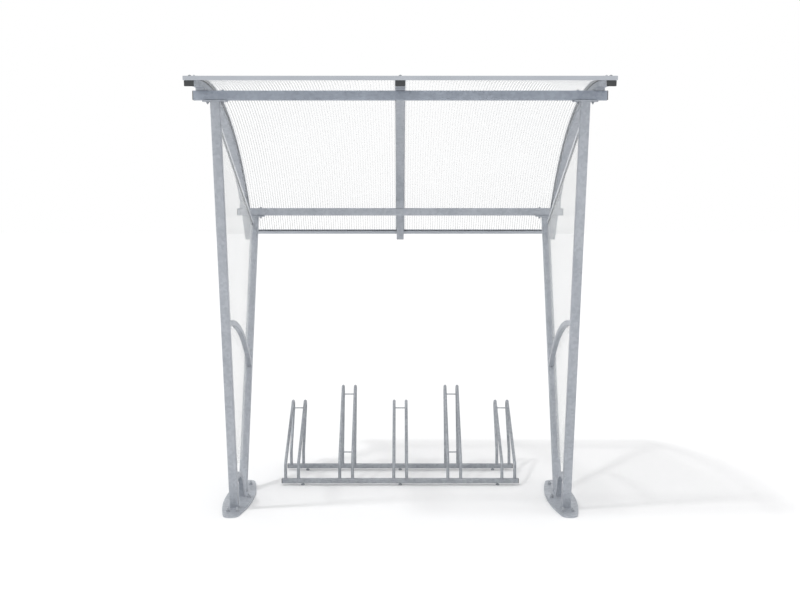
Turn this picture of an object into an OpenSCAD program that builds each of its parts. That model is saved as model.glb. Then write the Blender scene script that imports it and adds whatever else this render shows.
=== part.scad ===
// Open bicycle shelter: two V-shaped side frames on oval foot plates carry two cross
// purlins, three curved ribs and a barrel-curved roof of multiwall sheet. A free-standing
// wheel rack stands on the ground inside it.
// Millimetres, X across the front, Y from the open front (-) to the back (+), Z up.

/* [Overall] */
// Depth from the nose of the front roof rail to the lowest end of the ribs
shelter_depth = 2150; // [1900:10:2600]
// Length of the two cross purlins, which is the overall width
shelter_width = 2214; // [1900:10:2700]
// Height of the top of the rib tubes at the crown of the roof
crown_h = 2475; // [2200:5:2800]

/* [Roof arc] */
// Radius of the top face of the ribs
rib_r = 2344; // [2000:10:3000]
// How far behind the front nose of the roof the crown of the arc lies
crown_setback = 313; // [200:5:500]
// Width of the rib tubes
rib_w = 50; // [40:1:60]
// Depth of the rib tubes
rib_d = 30; // [25:1:50]
// Distance of the outer ribs from the middle of the shelter
rib_x = 1068; // [900:2:1300]

/* [Roof covering] */
// Thickness of the multiwall roof sheets
sheet_t = 16; // [8:1:20]
// Rubber strip between a rib and the sheets
gasket_t = 3; // [2:0.5:5]
// Gap between the two roof sheets over the middle rib
sheet_joint = 6; // [3:1:12]
// Width of the cover strip over the middle joint
cover_w = 60; // [50:1:80]
// Wall of the aluminium edge rails and cover strips
trim_t = 3; // [2:0.5:4]
// Length of an edge rail's lips along the sheet
rail_lip = 22; // [18:1:40]
// Part of each rib that stands below the rear edge rail
rib_tail = 8; // [6:1:80]
// How far the edge rails pass the outer ribs
rail_over = 5; // [4:1:12]

/* [Purlins] */
// Side of the square purlin, leg and head sections
tube = 50; // [40:1:60]
// Wall of the steel tubes
wall = 3; // [2:0.5:5]
// Least height of the saddles between the ribs and the front purlin
front_saddle = 12.1; // [2:0.1:60]
// Distance of the front purlin behind the front nose
front_purlin_in = 351; // [300:1:450]
// Least height of the saddles between the ribs and the rear purlin
rear_saddle = 3.4; // [2:0.1:60]
// Distance of the rear purlin behind the front nose
rear_purlin_in = 1910; // [1700:1:1910]

/* [Side frames] */
// Distance of the side frames from the middle of the shelter
frame_x = 993; // [850:1:1100]
// Front leg's foot behind the front nose
front_foot_in = 802; // [700:2:850]
// Rear leg's foot behind the front nose
rear_foot_in = 1160; // [1130:2:1300]
// Width of a head plate
head_w = 140; // [120:1:180]
// Depth of a head plate
head_d = 60; // [56:1:80]
// Thickness of a head plate
head_t = 8; // [6:1:12]
// Radius of the outer face of the arched brace
brace_r = 1284; // [1150:2:1400]
// Height of the top of the brace where its arc is level
brace_h = 1159; // [950:1:1250]
// How far behind the front nose the brace's arc is level
brace_in = 565; // [500:1:620]
// Side of the square brace tubes
brace_w = 30; // [25:1:35]
// Radius of the outer face of the small foot brace
foot_brace_r = 197; // [150:1:210]
// Gap between the foot brace's lower end and the rear leg
foot_brace_gap = 70; // [50:1:90]

/* [Foot plates] */
// Length of a foot plate
plate_l = 810; // [780:2:1000]
// Width of a foot plate
plate_w = 176; // [160:1:220]
// Thickness of a foot plate
plate_t = 10; // [8:1:15]
// Radius of the two ends of a foot plate
plate_end_r = 48; // [40:1:70]
// Centre of the foot plates behind the front nose
plate_in = 1024; // [1000:1:1050]
// Diameter of the anchor holes
anchor_d = 14; // [10:1:18]
// Spacing of an end pair of anchor holes, across the plate
anchor_pair = 56; // [50:1:60]
// Spacing of the middle pair of anchor holes, across the plate
anchor_mid = 110; // [100:1:120]
// Distance from the front pair of anchor holes to the rear pair
anchor_span = 600; // [570:1:640]

/* [Side panels] */
// Thickness of the side panels
panel_t = 10; // [6:1:12]
// Top of the panel below the front purlin's top, at the front leg
panel_front_drop = 92; // [80:2:200]
// Top of the panel below the rear purlin's top, at the rear leg
panel_rear_drop = 92; // [80:2:200]
// Height of the bottom edge of a panel above the ground
panel_bottom = 215; // [213:1:400]
// Height of the edge strip along the top of a panel
panel_trim_h = 20; // [15:1:30]
// Clearance of panels and sheets in their channels and against the legs
fit = 0.3; // [0.2:0.1:0.5]

/* [Wheel rack] */
// Length of the two rack rails
rack_l = 1526; // [1500:2:1900]
// Side of the square rack rails
rack_tube = 30; // [25:1:35]
// Height of the bottom of the rack rails above the ground
rack_clear = 14; // [8:1:30]
// Front rack rail behind the front nose
rack_front_in = 1340; // [1200:5:1340]
// Distance between the two rack rails
rack_gap = 382; // [340:1:450]
// Distance between neighbouring wheel holders
holder_pitch = 350; // [300:5:370]
// Distance between the two hoops of one holder
hoop_gap = 83; // [70:1:95]
// Diameter of the hoop tubes
hoop_d = 20; // [16:1:24]
// Diameter of the cross rods in a holder
rod_d = 8; // [6:1:12]
// Bend radius of the hoop tubes, on their middle line
hoop_bend = 35; // [30:1:40]
// Diameter of the rack's screw feet
foot_d = 24; // [20:1:28]

/* [Hidden] */
$fn = 64;

steel = [0.66, 0.69, 0.72];
alu = [0.72, 0.74, 0.76];
black = [0.16, 0.17, 0.17];
clear_sheet = [0.93, 0.94, 0.94, 0.6];

// Cap on the end of a tube: flange outside and plug inside
cap_t = 4;
cap_plug = 12;

nose_y = -shelter_depth / 2;         // front nose of the roof
arc_y = nose_y + crown_setback;      // centre of the roof arc
arc_z = crown_h - rib_r;
sheet_r = rib_r + gasket_t;          // under face of the sheets
sheet_top_r = sheet_r + sheet_t;
skin_r = sheet_top_r + trim_t;       // top of rails and cover strips
slot_r = rib_r + trim_t;             // under face of the slot in a rail

// Angles about the arc's centre, from level at the back (0) to the crown (90)
function arc_angle(length, r = rib_r) = length / r * 180 / PI;
a_nose = 90 + asin(crown_setback / skin_r);
a_tail = acos((shelter_depth / 2 - arc_y) / rib_r);
a_rib_front = a_nose - arc_angle(6);
a_rib_rear = a_tail + arc_angle(cap_t);
a_rail_end = a_tail + arc_angle(rib_tail);

front_purlin_y = nose_y + front_purlin_in;
rear_purlin_y = nose_y + rear_purlin_in;
// Underside of the ribs at a distance y, and the purlins' tops under it
function rib_under(y) = arc_z + sqrt(pow(rib_r - rib_d, 2) - pow(y - arc_y, 2));
front_purlin_h = rib_under(front_purlin_y + tube / 2) - front_saddle;
rear_purlin_h = rib_under(rear_purlin_y + tube / 2) - rear_saddle;
front_foot_y = nose_y + front_foot_in;
rear_foot_y = nose_y + rear_foot_in;
front_head_z = front_purlin_h - tube - head_t;
rear_head_z = rear_purlin_h - tube - head_t;
plate_y = nose_y + plate_in;

brace_y = nose_y + brace_in;
brace_z = brace_h - brace_r;
inner_x = frame_x - tube / 2;                 // inner faces of the legs
panel_x = inner_x + brace_w + fit;            // inner face of a side panel

rack_front_y = nose_y + rack_front_in;
rack_rear_y = rack_front_y + rack_gap;
rack_top = rack_clear + rack_tube;

// Facets of a hoop tube: sides round it, and degrees of bend from ring to ring
hoop_sides = 12;
hoop_step = 15;
// Middle line of the hoops, front rail to rear rail, as corners (y, z)
low_hoop = [[0, 0], [5, 94], [687, 483], [rack_gap + 1, 92], [rack_gap - 5, 0]];
high_hoop = [[0, 0], [5, 101], [594, 600], [rack_gap - 1, 96], [rack_gap - 5, 0]];

// Draws a side view, given in (y, z), as a solid along +X from x
module side_view(x = 0) { translate([x, 0, 0]) rotate([90, 0, 90]) children(); }

// Ring sector about the roof arc's axis, from radius r0 to r1 and angle a0 to a1
module roof_arc(x0, x1, r0, r1, a0, a1) {
  side_view(x0) translate([arc_y, arc_z]) rotate(a0)
    rotate_extrude(angle = a1 - a0, $fn = 256)
      translate([r0, 0]) square([r1 - r0, x1 - x0]);
}

// Square tube along X, open at both ends
module cross_tube(length, side, y, z_top) {
  translate([-length / 2, y - side / 2, z_top - side]) difference() {
    cube([length, side, side]);
    translate([-1, wall, wall]) cube([length + 2, side - 2 * wall, side - 2 * wall]);
  }
}

// Plug-in cap for the +X end of a square tube
module tube_cap(x, side, y, z_top) {
  inside = side - 2 * wall - 2 * fit;
  translate([x, y - side / 2, z_top - side]) cube([cap_t, side, side]);
  translate([x - cap_plug, y - inside / 2, z_top - side / 2 - inside / 2])
    cube([cap_plug + 1, inside, inside]);
}

// Side view of a leg between two heights; half is half its thickness across
module leg_outline(foot, head, half) {
  reach = half / cos(atan2(head[0] - foot[0], head[1] - foot[1]));
  polygon([[foot[0] - reach, foot[1]], [foot[0] + reach, foot[1]],
           [head[0] + reach, head[1]], [head[0] - reach, head[1]]]);
}

module leg(x, foot, head) {
  side_view(x - tube / 2) difference() {
    linear_extrude(tube) leg_outline(foot, head, tube / 2);
    translate([0, 0, wall]) linear_extrude(tube - 2 * wall)
      leg_outline(foot, head, tube / 2 - wall);
  }
}

front_foot = [front_foot_y, plate_t];
front_head = [front_purlin_y, front_head_z];
rear_foot = [rear_foot_y, plate_t];
rear_head = [rear_purlin_y, rear_head_z];

// Where a leg's face lies at height z: side is -1 for the front face, +1 for the back
function leg_face(foot, head, side, z) =
  foot[0] + (head[0] - foot[0]) * (z - foot[1]) / (head[1] - foot[1])
  + side * tube / 2 / cos(atan2(head[0] - foot[0], head[1] - foot[1]));
function front_inside(z) = leg_face(front_foot, front_head, 1, z);
function rear_inside(z) = leg_face(rear_foot, rear_head, -1, z);

// Space between the two legs in side view, up to height z
module between_legs(z) {
  polygon([[front_inside(plate_t), plate_t], [rear_inside(plate_t), plate_t],
           [rear_inside(z), z], [front_inside(z), z]]);
}

// Mirrors a piece made for the right-hand side when side is -1
module on_side(side) { if (side > 0) children(); else mirror([1, 0, 0]) children(); }

module base_plate(side) {
  half_l = plate_l / 2;
  half_w = plate_w / 2;
  end_y = half_l - plate_end_r;
  flank_r = (end_y ^ 2 + half_w ^ 2 - plate_end_r ^ 2) / (2 * (half_w - plate_end_r));
  tangent_y = end_y * flank_r / (flank_r - plate_end_r);
  color(steel) on_side(side) translate([frame_x, plate_y, 0]) difference() {
    union() {
      intersection() {
        translate([half_w - flank_r, 0, 0]) cylinder(h = plate_t, r = flank_r, $fn = 360);
        translate([flank_r - half_w, 0, 0]) cylinder(h = plate_t, r = flank_r, $fn = 360);
        translate([-half_w, -tangent_y, 0]) cube([plate_w, 2 * tangent_y, plate_t]);
      }
      for (end = [-1, 1]) translate([0, end * end_y, 0])
        cylinder(h = plate_t, r = plate_end_r);
    }
    for (end = [-1, 1], across = [-1, 1])
      translate([across * anchor_pair / 2, end * anchor_span / 2, -1])
        cylinder(h = plate_t + 2, d = anchor_d);
    for (across = [-1, 1]) translate([across * anchor_mid / 2, 0, -1])
      cylinder(h = plate_t + 2, d = anchor_d);
  }
}

module front_leg(side) {
  color(steel) on_side(side) leg(frame_x, front_foot, front_head);
}

module rear_leg(side) {
  color(steel) on_side(side) leg(frame_x, rear_foot, rear_head);
}

// Oval plate under a purlin that closes the head of a leg
module head_plate(side, y, z) {
  color(steel) on_side(side) translate([frame_x, y, z]) {
    translate([(head_d - head_w) / 2, -head_d / 2, 0]) cube([head_w - head_d, head_d, head_t]);
    for (end = [-1, 1]) translate([end * (head_w - head_d) / 2, 0, 0])
      cylinder(h = head_t, d = head_d);
  }
}

// Hollow ring sector of square tube, as a full ring to be cut by the legs
module brace_ring(y, z, r) {
  side_view(inner_x) translate([y, z]) difference() {
    cylinder(h = brace_w, r = r, $fn = 256);
    translate([0, 0, -1]) cylinder(h = brace_w + 2, r = r - brace_w, $fn = 256);
    translate([0, 0, wall]) difference() {
      cylinder(h = brace_w - 2 * wall, r = r - wall, $fn = 256);
      translate([0, 0, -1]) cylinder(h = brace_w, r = r - brace_w + wall, $fn = 256);
    }
  }
}

module arc_brace(side) {
  color(steel) on_side(side) intersection() {
    brace_ring(brace_y, brace_z, brace_r);
    side_view(inner_x - 1) linear_extrude(brace_w + 2) between_legs(brace_h + tube);
  }
}

// Small tube that leaves the front leg level and turns down onto the foot plate
module foot_brace(side) {
  bend_y = rear_inside(plate_t) - foot_brace_gap - foot_brace_r;
  top = plate_t + foot_brace_r;
  start = front_inside(top - brace_w);
  color(steel) on_side(side) {
    side_view(inner_x) translate([bend_y, plate_t])
      rotate_extrude(angle = 90, $fn = 96)
        translate([foot_brace_r - brace_w, 0]) difference() {
          square(brace_w);
          translate([wall, wall]) square(brace_w - 2 * wall);
        }
    side_view(inner_x) difference() {
      linear_extrude(brace_w) polygon([[start, top - brace_w], [bend_y, top - brace_w],
                                       [bend_y, top], [front_inside(top), top]]);
      translate([0, 0, wall]) linear_extrude(brace_w - 2 * wall)
        polygon([[start - tube, top - brace_w + wall], [bend_y, top - brace_w + wall],
                 [bend_y, top - wall], [start - tube, top - wall]]);
    }
  }
}

module front_purlin() { color(steel) cross_tube(shelter_width, tube, front_purlin_y, front_purlin_h); }
module rear_purlin() { color(steel) cross_tube(shelter_width, tube, rear_purlin_y, rear_purlin_h); }

module purlin_end_caps() {
  color(black) for (side = [-1, 1]) on_side(side) {
    tube_cap(shelter_width / 2, tube, front_purlin_y, front_purlin_h);
    tube_cap(shelter_width / 2, tube, rear_purlin_y, rear_purlin_h);
  }
}

// Packer between a purlin and the under face of each rib
module rib_saddle(x, y, z, length) {
  difference() {
    translate([x - rib_w / 2, y - length / 2, z]) cube([rib_w, length, rib_d * 3]);
    side_view(x - rib_w) translate([arc_y, arc_z]) difference() {
      translate([-rib_r * 1.5, -rib_r * 1.5, 0]) cube([rib_r * 3, rib_r * 3, rib_w * 2]);
      translate([0, 0, -1]) cylinder(h = rib_w * 2 + 2, r = rib_r - rib_d, $fn = 256);
    }
  }
}

module front_rib_saddles() {
  color(steel) for (x = [-rib_x, 0, rib_x]) rib_saddle(x, front_purlin_y, front_purlin_h, tube);
}

module rear_rib_saddles() {
  color(steel) for (x = [-rib_x, 0, rib_x]) rib_saddle(x, rear_purlin_y, rear_purlin_h, tube);
}

module rib(x) {
  color(steel) difference() {
    roof_arc(x - rib_w / 2, x + rib_w / 2, rib_r - rib_d, rib_r, a_rib_rear, a_rib_front);
    roof_arc(x - rib_w / 2 + wall, x + rib_w / 2 - wall, rib_r - rib_d + wall, rib_r - wall,
             a_rib_rear - 1, a_rib_front + 1);
  }
}

// Caps on both ends of every rib, flange outside and plug inside
module rib_end_caps() {
  gap = wall + fit;
  color(black) for (x = [-rib_x, 0, rib_x]) {
    roof_arc(x - rib_w / 2, x + rib_w / 2, rib_r - rib_d, rib_r,
             a_rib_front, a_rib_front + arc_angle(cap_t));
    roof_arc(x - rib_w / 2 + gap, x + rib_w / 2 - gap, rib_r - rib_d + gap, rib_r - gap,
             a_rib_front - arc_angle(cap_plug), a_rib_front + arc_angle(1));
    roof_arc(x - rib_w / 2, x + rib_w / 2, rib_r - rib_d, rib_r, a_tail, a_rib_rear);
    roof_arc(x - rib_w / 2 + gap, x + rib_w / 2 - gap, rib_r - rib_d + gap, rib_r - gap,
             a_rib_rear - arc_angle(1), a_rib_rear + arc_angle(cap_plug));
  }
}

a_lip_front = a_nose - arc_angle(rail_lip);
a_lip_rear = a_rail_end + arc_angle(rail_lip);

module rib_gaskets() {
  color(black) for (x = [-rib_x, 0, rib_x])
    roof_arc(x - rib_w / 2, x + rib_w / 2, rib_r, sheet_r,
             a_lip_rear + arc_angle(1), a_lip_front - arc_angle(1));
}

// Sheet from the middle joint to the outer rib; its ends sit in the slots of the rails
module roof_sheet(side) {
  color(clear_sheet) on_side(side)
    roof_arc(sheet_joint / 2, rib_x + rib_w / 2 - fit, sheet_r + fit, sheet_top_r - fit,
             a_rail_end + arc_angle(trim_t + fit), a_nose - arc_angle(trim_t + fit));
}

// Channel across the roof: back is the angle of its closed side, open its lips' angle
module edge_rail(back, open) {
  half = rib_x + rib_w / 2 + rail_over;
  turn = open > back ? 1 : -1;
  floor_a = back + turn * arc_angle(trim_t);
  color(alu) difference() {
    roof_arc(-half, half, rib_r, skin_r, min(back, open), max(back, open));
    roof_arc(-half - 1, half + 1, slot_r, sheet_top_r,
             min(floor_a, open + turn), max(floor_a, open + turn));
  }
}

module front_edge_rail() { edge_rail(a_nose, a_lip_front); }
module rear_edge_rail() { edge_rail(a_rail_end, a_lip_rear); }

module cover_plate(x0, x1) {
  roof_arc(x0, x1, sheet_top_r, skin_r, a_lip_rear + arc_angle(fit), a_lip_front - arc_angle(fit));
}

module centre_cover_strip() { color(alu) cover_plate(-cover_w / 2, cover_w / 2); }

// Edge cover: a strip over the outer rib with a lip down the side of the sheet
module side_cover_strip(side) {
  edge = rib_x + rib_w / 2;
  color(alu) on_side(side) {
    cover_plate(edge - cover_w + rail_over, edge + trim_t);
    roof_arc(edge, edge + trim_t, rib_r, skin_r,
             a_lip_rear + arc_angle(fit), a_lip_front - arc_angle(fit));
  }
}

// Top edge of a side panel: the line between the two legs, lowered by drop, and drawn on
// past both legs by a share of its own length
panel_front_top = front_purlin_h - panel_front_drop;
panel_rear_top = rear_purlin_h - panel_rear_drop;

function panel_edge(drop, more = 0) =
  let (a = [front_inside(panel_front_top - drop) + fit, panel_front_top - drop],
       b = [rear_inside(panel_rear_top - drop) - fit, panel_rear_top - drop])
  [a + (a - b) * more, b + (b - a) * more];

module panel_outline(drop) {
  polygon(concat([
    [front_inside(panel_bottom) + fit, panel_bottom],
    [rear_inside(panel_bottom) - fit, panel_bottom]
  ], [panel_edge(drop)[1], panel_edge(drop)[0]]));
}

// Band along a panel's top edge, between two drops
module panel_band(upper, lower, more = 0) {
  polygon(concat(panel_edge(lower, more),
                 [panel_edge(upper, more)[1], panel_edge(upper, more)[0]]));
}

module side_panel(side) {
  color(clear_sheet) on_side(side) side_view(panel_x) linear_extrude(panel_t)
    panel_outline(trim_t + fit);
}

// Channel that closes the top edge of a side panel; its slot runs out at both ends
module panel_trim(side) {
  half = panel_t / 2 + fit + trim_t / 2;
  color(alu) on_side(side) difference() {
    side_view(panel_x + panel_t / 2 - half) linear_extrude(2 * half)
      panel_band(0, panel_trim_h);
    side_view(panel_x - fit) linear_extrude(panel_t + 2 * fit)
      panel_band(trim_t, panel_trim_h + 1, 0.01);
  }
}

module rack_front_rail() { color(steel) cross_tube(rack_l, rack_tube, rack_front_y, rack_top); }
module rack_rear_rail() { color(steel) cross_tube(rack_l, rack_tube, rack_rear_y, rack_top); }

module rack_rail_caps() {
  color(black) for (side = [-1, 1], y = [rack_front_y, rack_rear_y])
    on_side(side) tube_cap(rack_l / 2, rack_tube, y, rack_top);
}

// Screw feet under the rails, between the wheel holders
module rack_feet() {
  color(steel) for (x = [-2, 0, 2] * holder_pitch * 0.9, y = [rack_front_y, rack_rear_y])
    translate([x, y, 0]) {
      cylinder(h = rack_clear / 2, d = foot_d);
      cylinder(h = rack_clear, d = foot_d / 2);
    }
}

// Turn of a path at corner q, in degrees, to the left when positive
function bend_angle(p, q, r) =
  let (u = (q - p) / norm(q - p), v = (r - q) / norm(r - q))
  atan2(u[0] * v[1] - u[1] * v[0], u * v);

// Stations [y, z, heading] round the corner q, where the path from p to r bends
function bend_stations(p, q, r, bend) =
  let (turn = bend_angle(p, q, r), side = sign(turn), run = (q - p) / norm(q - p),
       heading = atan2(run[1], run[0]), steps = ceil(abs(turn) / hoop_step),
       begin = q - run * bend * tan(abs(turn) / 2),
       centre = begin + side * bend * [-sin(heading), cos(heading)])
  [for (i = [0:steps]) let (a = heading + turn * i / steps)
    [centre[0] + side * bend * sin(a), centre[1] - side * bend * cos(a), a]];

// Round bar along the corners of path, in the (y, z) plane, with round bends
module bent_tube(path, d, bend) {
  last = len(path) - 1;
  stations = [
    [path[0][0], path[0][1], 90],
    for (i = [1:last - 1]) each bend_stations(path[i - 1], path[i], path[i + 1], bend),
    [path[last][0], path[last][1], -90]
  ];
  rings = len(stations);
  points = [for (s = stations, i = [0:hoop_sides - 1]) let (phi = 360 * i / hoop_sides)
    [s[0] - d / 2 * cos(phi) * sin(s[2]), s[1] + d / 2 * cos(phi) * cos(s[2]),
     d / 2 * sin(phi)]];
  skin = [for (k = [0:rings - 2], i = [0:hoop_sides - 1])
    let (j = (i + 1) % hoop_sides, a = k * hoop_sides, b = a + hoop_sides)
    [a + i, b + i, b + j, a + j]];
  first_end = [for (i = [0:hoop_sides - 1]) i];
  far_end = [for (i = [1:hoop_sides]) rings * hoop_sides - i];
  polyhedron(points, concat(skin, [first_end, far_end]));
}

// Wheel holder: two bent hoops welded on the rails, tied by cross rods
module wheel_holder(x, path, rods) {
  rod_l = hoop_gap - hoop_d - fit;
  color(steel) translate([x, rack_front_y, rack_top]) {
    for (side = [-1, 1])
      side_view(side * hoop_gap / 2) bent_tube(path, hoop_d, hoop_bend);
    for (rod = rods)
      side_view(-rod_l / 2) translate([rod[0], rod[1], 0])
        cylinder(h = rod_l, d = rod_d, $fn = 24);
  }
}

// Middles of the cross rods: one near the top of the front run, and in the high holders
// one more on the rear upright
function on_run(path, i, share) = path[i] + (path[i + 1] - path[i]) * share;
low_rods = [on_run(low_hoop, 1, 0.7)];
high_rods = [on_run(high_hoop, 1, 0.74), on_run(high_hoop, 3, 0.15)];

base_plate(-1);  // left_base_plate
base_plate(1);  // right_base_plate
front_leg(-1);  // left_front_leg
front_leg(1);  // right_front_leg
rear_leg(-1);  // left_rear_leg
rear_leg(1);  // right_rear_leg
foot_brace(-1);  // left_foot_brace
foot_brace(1);  // right_foot_brace
arc_brace(-1);  // left_arc_brace
arc_brace(1);  // right_arc_brace
head_plate(-1, front_purlin_y, front_head_z);  // left_front_head_plate
head_plate(1, front_purlin_y, front_head_z);  // right_front_head_plate
head_plate(-1, rear_purlin_y, rear_head_z);  // left_rear_head_plate
head_plate(1, rear_purlin_y, rear_head_z);  // right_rear_head_plate
front_purlin();
rear_purlin();
purlin_end_caps();
front_rib_saddles();
rear_rib_saddles();
rib(-rib_x);  // left_rib
rib(0);  // centre_rib
rib(rib_x);  // right_rib
rib_end_caps();
rib_gaskets();
roof_sheet(-1);  // left_roof_sheet
roof_sheet(1);  // right_roof_sheet
front_edge_rail();
rear_edge_rail();
side_cover_strip(-1);  // left_cover_strip
centre_cover_strip();
side_cover_strip(1);  // right_cover_strip
side_panel(-1);  // left_side_panel
side_panel(1);  // right_side_panel
panel_trim(-1);  // left_panel_trim
panel_trim(1);  // right_panel_trim
rack_front_rail();
rack_rear_rail();
rack_rail_caps();
rack_feet();
wheel_holder(-2 * holder_pitch, low_hoop, low_rods);  // wheel_holder_1
wheel_holder(-holder_pitch, high_hoop, high_rods);  // wheel_holder_2
wheel_holder(0, low_hoop, low_rods);  // wheel_holder_3
wheel_holder(holder_pitch, high_hoop, high_rods);  // wheel_holder_4
wheel_holder(2 * holder_pitch, low_hoop, low_rods);  // wheel_holder_5
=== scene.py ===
# %% [markdown]
# # An open bicycle shelter
# A lesson in Blender cells. The steel frame, its sizes and its places come from the packed
# model. This script gives every part the surface of the real thing: dull galvanised tube,
# satin aluminium trim, black plugs and clear multiwall sheet.

# %% Load the fixed frame
import math

import bmesh
import bpy
import numpy as np
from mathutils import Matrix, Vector


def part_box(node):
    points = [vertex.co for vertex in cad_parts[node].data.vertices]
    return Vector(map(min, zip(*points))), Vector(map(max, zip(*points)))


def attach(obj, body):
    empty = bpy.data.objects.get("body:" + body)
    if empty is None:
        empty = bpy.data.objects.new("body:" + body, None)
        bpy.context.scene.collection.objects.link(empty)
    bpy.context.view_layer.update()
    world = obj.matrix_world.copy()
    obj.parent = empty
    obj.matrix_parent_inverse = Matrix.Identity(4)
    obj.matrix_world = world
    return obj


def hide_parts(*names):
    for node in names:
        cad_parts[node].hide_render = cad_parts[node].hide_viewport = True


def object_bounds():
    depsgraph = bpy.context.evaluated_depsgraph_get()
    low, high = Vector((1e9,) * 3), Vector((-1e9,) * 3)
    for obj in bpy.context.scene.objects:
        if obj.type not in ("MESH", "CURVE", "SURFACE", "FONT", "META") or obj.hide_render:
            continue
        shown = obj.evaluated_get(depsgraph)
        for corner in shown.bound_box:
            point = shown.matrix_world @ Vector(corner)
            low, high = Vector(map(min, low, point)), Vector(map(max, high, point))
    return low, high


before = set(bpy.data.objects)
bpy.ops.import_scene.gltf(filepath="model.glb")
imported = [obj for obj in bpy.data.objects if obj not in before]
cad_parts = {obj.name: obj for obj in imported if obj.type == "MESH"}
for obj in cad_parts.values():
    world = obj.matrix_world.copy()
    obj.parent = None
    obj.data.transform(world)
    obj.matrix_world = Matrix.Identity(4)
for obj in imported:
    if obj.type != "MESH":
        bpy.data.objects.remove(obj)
cad_box = [list(corner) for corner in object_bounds()]
print("nodes:", len(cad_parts))

# %% [markdown]
# ## Where things are
# A part's place could be typed in, but it would drift from the model. So it is read from the
# box of its node, and only sizes that a box can't tell, such as radii and thicknesses, repeat
# the model's own. The roof is one arc: its ribs, seals, sheets and strips share one axis.

# %% Places taken from the frame
def low(node):
    """Lowest corner of a node's box, as an array."""
    return np.array(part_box(node)[0], dtype=float)


def high(node):
    """Highest corner of a node's box, as an array."""
    return np.array(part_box(node)[1], dtype=float)


RIB_RADIUS = 2.344
CROWN_SETBACK = 0.313
RIB_DEPTH = 0.030
GASKET = 0.003
SHEET = 0.016
TRIM = 0.003
WALL_CLEARANCE = 0.0003
TUBE = 0.050
SMALL_TUBE = 0.030
ROOF_OUTSIDE = RIB_RADIUS + GASKET + SHEET + TRIM

nose_y = cad_box[0][1]
crown_z = high("centre_rib")[2]
arc_axis = np.array([0.0, nose_y + CROWN_SETBACK, crown_z - RIB_RADIUS])
print("roof axis:", arc_axis.round(3))

# %% [markdown]
# ## Meshes from arrays
# Tube, sheet, plugs and hoops are all extruded, bent or turned on the real shelter: a profile
# carried along a path. A curve with a bevel could make the tubes too, but arrays of rings also
# make the sheets and the beads, keep exact sizes, and run no loop over vertices. The ends are
# closed, so that each part is a solid.

# %% Rings of points become a closed mesh
def ring_solid(rings, closed=False):
    """Vertices and faces of a tube: vertex (i, j) is point j of ring i, each quad joins
    (i, j), (i, j + 1), (i + 1, j + 1), (i + 1, j), and both ends are one polygon."""
    count, sides = rings.shape[:2]
    spans = count if closed else count - 1
    i, j = np.meshgrid(np.arange(spans), np.arange(sides), indexing="ij")
    after, beside = (i + 1) % count, (j + 1) % sides
    quads = np.stack([i * sides + j, i * sides + beside, after * sides + beside,
                      after * sides + j], axis=-1).reshape(-1, 4)
    faces = quads.tolist()
    if not closed:
        faces.append(list(range(sides))[::-1])
        faces.append(list(range((count - 1) * sides, count * sides)))
    return rings.reshape(-1, 3), faces


def joined(solids):
    """Several (vertices, faces) pairs as one pair, each pair's indices moved past the last."""
    starts = np.cumsum([0] + [len(v) for v, _ in solids])
    faces = [[k + int(s) for k in face] for s, (_, fs) in zip(starts, solids) for face in fs]
    return np.concatenate([v for v, _ in solids]), faces


def copies(solid, places):
    """The same solid at each place: vertices + place, as one (vertices, faces) pair."""
    return joined([(solid[0] + np.asarray(p), solid[1]) for p in places])


def piece(name, solid, material, stands_for=(), smooth=40.0):
    """A finished object: mesh with its faces turned outward, material, smooth shading up to an
    angle, riding on the root."""
    mesh = bpy.data.meshes.new(name)
    mesh.from_pydata(solid[0].tolist(), [], solid[1])
    mesh.validate()
    shell = bmesh.new()
    shell.from_mesh(mesh)
    bmesh.ops.recalc_face_normals(shell, faces=shell.faces)
    shell.to_mesh(mesh)
    shell.free()
    mesh.materials.append(material)
    mesh.shade_smooth()
    mesh.set_sharp_from_angle(angle=math.radians(smooth))
    made = bpy.data.objects.new(name, mesh)
    bpy.context.scene.collection.objects.link(made)
    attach(made, "root")
    if stands_for:
        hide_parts(*stands_for)
    print(f"{name}: {len(mesh.vertices)} vertices")
    return made


# %% [markdown]
# Three profiles serve the whole frame: a rounded rectangle for rolled tube, a circle for bent
# rod, and a turned outline for nuts and screws. A bevel modifier could round the corners, but
# an outline with its own arcs gives every tube the same clean edge.

# %% Profiles
def round_rect(width, height, radius, steps=4):
    """Outline of a rectangle with round corners: each corner is centre + radius *
    (cos a, sin a) for a quarter turn, anticlockwise."""
    quarter = np.linspace(0, math.pi / 2, steps + 1)
    turn = (quarter[None, :] + np.arange(4)[:, None] * math.pi / 2).reshape(-1)
    sx = np.repeat([1, -1, -1, 1], steps + 1)
    sy = np.repeat([1, 1, -1, -1], steps + 1)
    return np.stack([sx * (width / 2 - radius) + radius * np.cos(turn),
                     sy * (height / 2 - radius) + radius * np.sin(turn)], axis=1)


def circle(radius, sides=20):
    """Points radius * (cos a, sin a), evenly round."""
    a = np.arange(sides) * 2 * math.pi / sides
    return np.stack([radius * np.cos(a), radius * np.sin(a)], axis=1)


def carried(outline, origins, side, up):
    """Rings of an outline along a path: origin + u * side + v * up at each station."""
    origins, side, up = (np.atleast_2d(np.asarray(a, dtype=float)) for a in (origins, side, up))
    return (origins[:, None, :] + outline[None, :, :1] * side[:, None, :]
            + outline[None, :, 1:] * up[:, None, :])


def lathe(profile, sides, turn=0.0):
    """Solid of revolution about Z: profile rows are (radius, height), bottom to top, and
    each ring is radius * (cos a, sin a) at that height."""
    a = np.arange(sides) * 2 * math.pi / sides + turn
    radius, height = np.asarray(profile, dtype=float).T
    return ring_solid(np.stack([radius[:, None] * np.cos(a), radius[:, None] * np.sin(a),
                                np.repeat(height[:, None], sides, 1)], axis=-1))


def turned(solid, matrix):
    """A solid with its vertices multiplied by a 3 x 3 matrix."""
    return solid[0] @ np.asarray(matrix, dtype=float).T, solid[1]


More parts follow.
